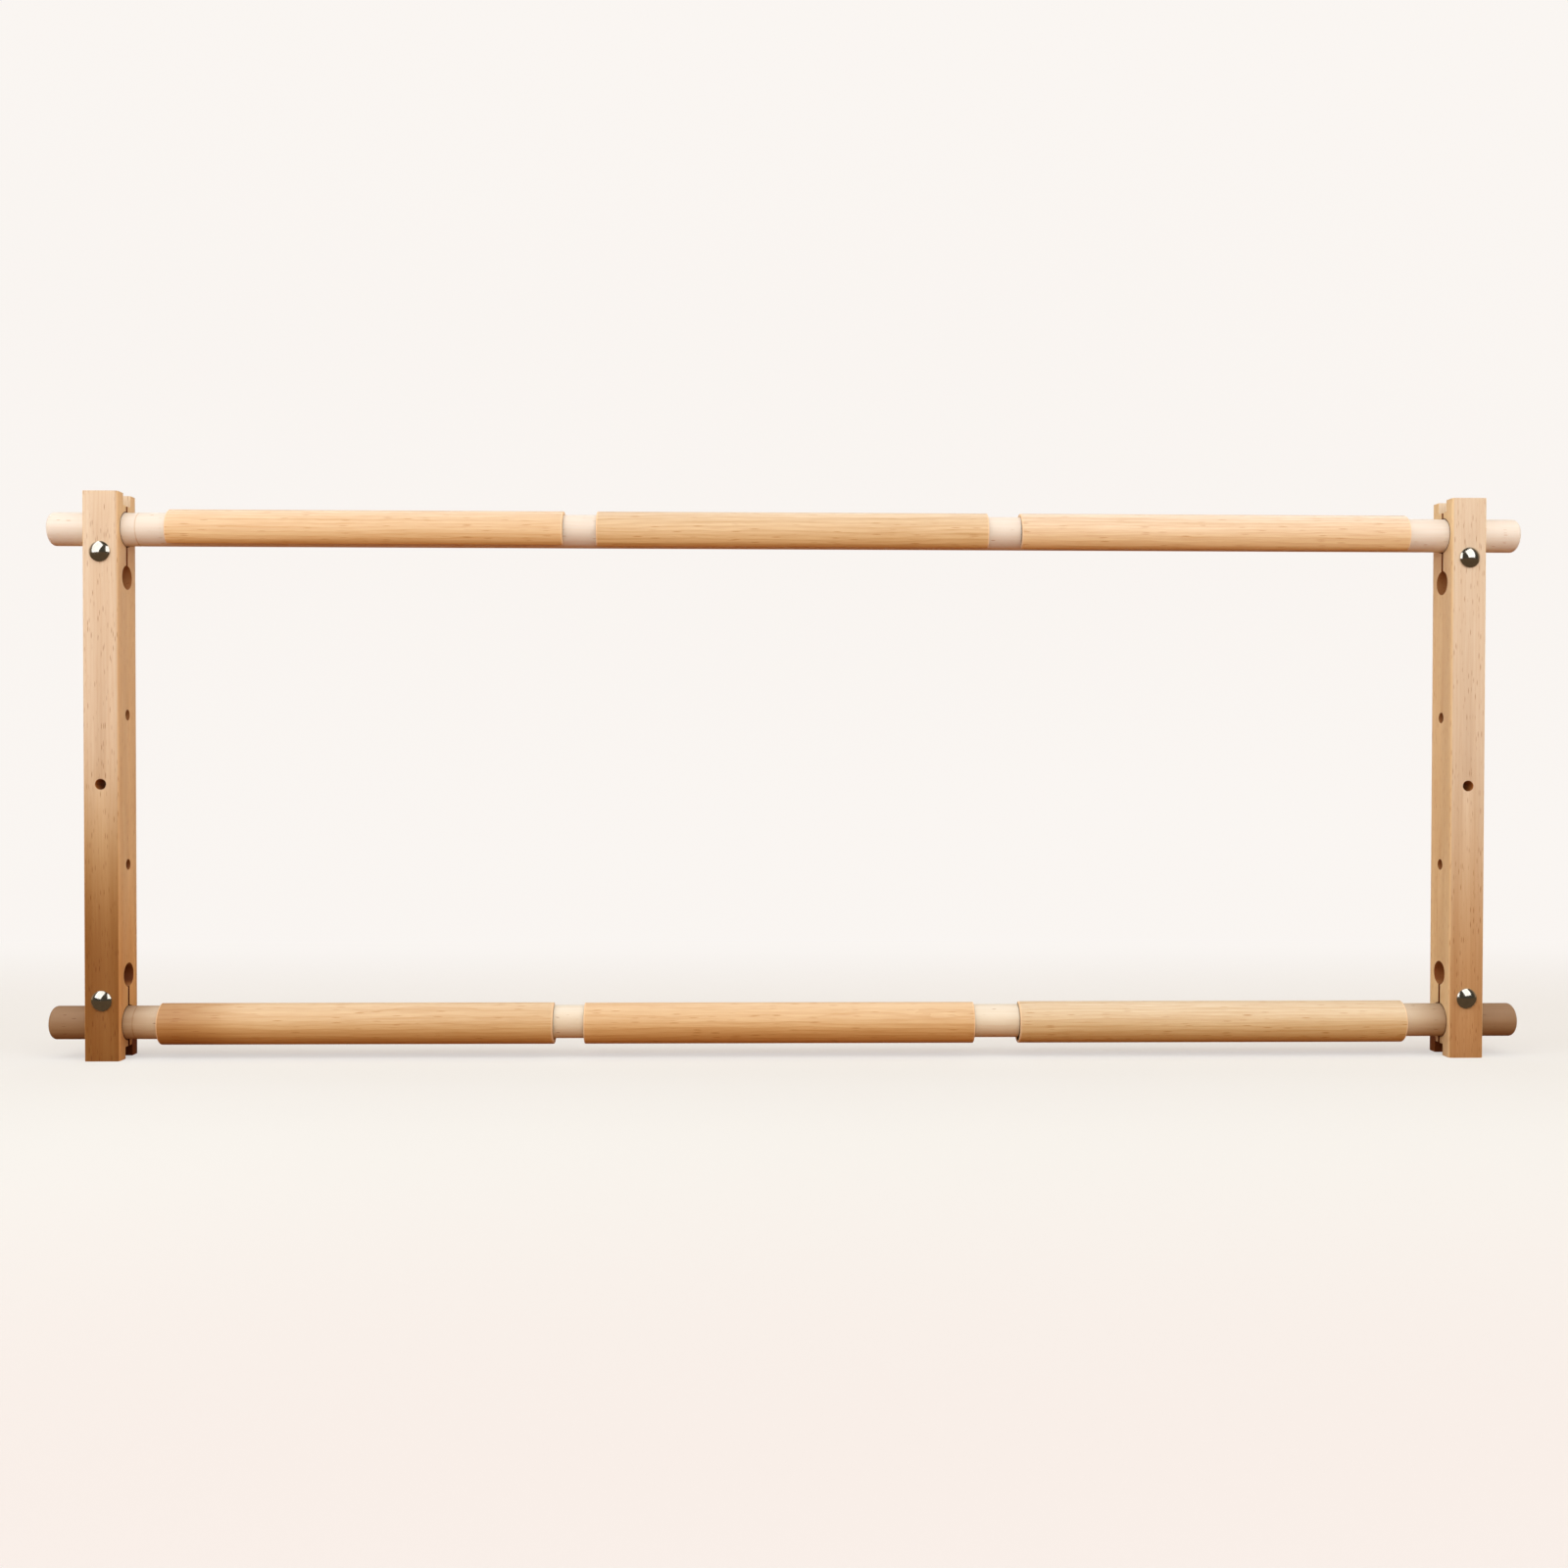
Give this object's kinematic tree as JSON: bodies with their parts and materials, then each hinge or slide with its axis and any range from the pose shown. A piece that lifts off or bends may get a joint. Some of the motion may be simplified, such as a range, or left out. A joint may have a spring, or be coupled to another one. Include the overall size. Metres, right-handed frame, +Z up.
{
  "type": "scroll frame",
  "caption": "Wooden scroll frame for needlework: round rollers held in split clamps at the ends of flat arms, with clips that press the cloth onto the rollers.",
  "frame": {"origin": "on the floor, at the middle of the box round the standing frame", "axes": "+X along the rollers to the viewer's right, -Y to the front where the bolt heads are, +Z up along the arms"},
  "size_m": [0.888, 0.0452, 0.339],
  "materials": {
    "beech": "sanded and oiled, satin, straight upright grain",
    "birch": "bare, finely sanded, matt",
    "warm_beech": "oiled, satin, grain along the clip",
    "nickel": "nickel plated, polished"
  },
  "bodies": {
    "left_arm": {"left_arm": "beech", "upper_left_bolt": "nickel", "lower_left_bolt": "nickel"},
    "right_arm": {"right_arm": "beech", "upper_right_bolt": "nickel", "lower_right_bolt": "nickel"},
    "upper_roller": {"upper_roller": "birch"},
    "lower_roller": {"lower_roller": "birch"},
    "upper_left_clip": {"upper_left_clip": "warm_beech"},
    "upper_middle_clip": {"upper_middle_clip": "warm_beech"},
    "upper_right_clip": {"upper_right_clip": "warm_beech"},
    "upper_left_washer": {"upper_left_washer": "nickel"},
    "upper_left_wing_nut": {"upper_left_wing_nut": "nickel"},
    "upper_right_washer": {"upper_right_washer": "nickel"},
    "upper_right_wing_nut": {"upper_right_wing_nut": "nickel"},
    "lower_left_clip": {"lower_left_clip": "warm_beech"},
    "lower_middle_clip": {"lower_middle_clip": "warm_beech"},
    "lower_right_clip": {"lower_right_clip": "warm_beech"},
    "lower_left_washer": {"lower_left_washer": "nickel"},
    "lower_left_wing_nut": {"lower_left_wing_nut": "nickel"},
    "lower_right_washer": {"lower_right_washer": "nickel"},
    "lower_right_wing_nut": {"lower_right_wing_nut": "nickel"}
  },
  "joints": [
    {"name": "right_arm_slide", "type": "slide", "parent": "left_arm", "child": "right_arm", "axis": [1, 0, 0], "range_m": [-0.012, 0.02]},
    {"name": "upper_roller_turn", "type": "hinge", "parent": "left_arm", "child": "upper_roller", "pos_m": [0, -0.0056, 0.318], "axis": [1, 0, 0], "continuous": true},
    {"name": "upper_left_clip_slide", "type": "slide", "parent": "upper_roller", "child": "upper_left_clip", "axis": [1, 0, 0], "range_m": [-0.009, 0.009]},
    {"name": "upper_middle_clip_slide", "type": "slide", "parent": "upper_roller", "child": "upper_middle_clip", "axis": [1, 0, 0], "range_m": [-0.009, 0.009]},
    {"name": "upper_right_clip_slide", "type": "slide", "parent": "upper_roller", "child": "upper_right_clip", "axis": [1, 0, 0], "range_m": [-0.009, 0.009]},
    {"name": "upper_left_washer_slide", "type": "slide", "parent": "left_arm", "child": "upper_left_washer", "axis": [0, 1, 0], "range_m": [0, 0.0033]},
    {"name": "upper_left_wing_nut_turn", "type": "hinge", "parent": "upper_left_washer", "child": "upper_left_wing_nut", "pos_m": [-0.41, -0.0056, 0.30302], "axis": [0, 1, 0], "range_deg": [0, 1440]},
    {"name": "upper_right_washer_slide", "type": "slide", "parent": "right_arm", "child": "upper_right_washer", "axis": [0, 1, 0], "range_m": [0, 0.0033]},
    {"name": "upper_right_wing_nut_turn", "type": "hinge", "parent": "upper_right_washer", "child": "upper_right_wing_nut", "pos_m": [0.41, -0.0056, 0.30302], "axis": [0, 1, 0], "range_deg": [0, 1440]},
    {"name": "lower_roller_turn", "type": "hinge", "parent": "left_arm", "child": "lower_roller", "pos_m": [0, -0.0056, 0.021], "axis": [1, 0, 0], "continuous": true},
    {"name": "lower_left_clip_slide", "type": "slide", "parent": "lower_roller", "child": "lower_left_clip", "axis": [1, 0, 0], "range_m": [-0.009, 0.009]},
    {"name": "lower_middle_clip_slide", "type": "slide", "parent": "lower_roller", "child": "lower_middle_clip", "axis": [1, 0, 0], "range_m": [-0.009, 0.009]},
    {"name": "lower_right_clip_slide", "type": "slide", "parent": "lower_roller", "child": "lower_right_clip", "axis": [1, 0, 0], "range_m": [-0.009, 0.009]},
    {"name": "lower_left_washer_slide", "type": "slide", "parent": "left_arm", "child": "lower_left_washer", "axis": [0, 1, 0], "range_m": [0, 0.0033]},
    {"name": "lower_left_wing_nut_turn", "type": "hinge", "parent": "lower_left_washer", "child": "lower_left_wing_nut", "pos_m": [-0.41, -0.0056, 0.03598], "axis": [0, 1, 0], "range_deg": [0, 1440]},
    {"name": "lower_right_washer_slide", "type": "slide", "parent": "right_arm", "child": "lower_right_washer", "axis": [0, 1, 0], "range_m": [0, 0.0033]},
    {"name": "lower_right_wing_nut_turn", "type": "hinge", "parent": "lower_right_washer", "child": "lower_right_wing_nut", "pos_m": [0.41, -0.0056, 0.03598], "axis": [0, 1, 0], "range_deg": [0, 1440]}
  ],
  "couplings": [
    {"joint": "upper_left_washer_slide", "follows": "upper_left_wing_nut_turn", "m_per_rad": 0.00012732},
    {"joint": "upper_right_washer_slide", "follows": "upper_right_wing_nut_turn", "m_per_rad": 0.00012732},
    {"joint": "lower_left_washer_slide", "follows": "lower_left_wing_nut_turn", "m_per_rad": 0.00012732},
    {"joint": "lower_right_washer_slide", "follows": "lower_right_wing_nut_turn", "m_per_rad": 0.00012732}
  ]
}
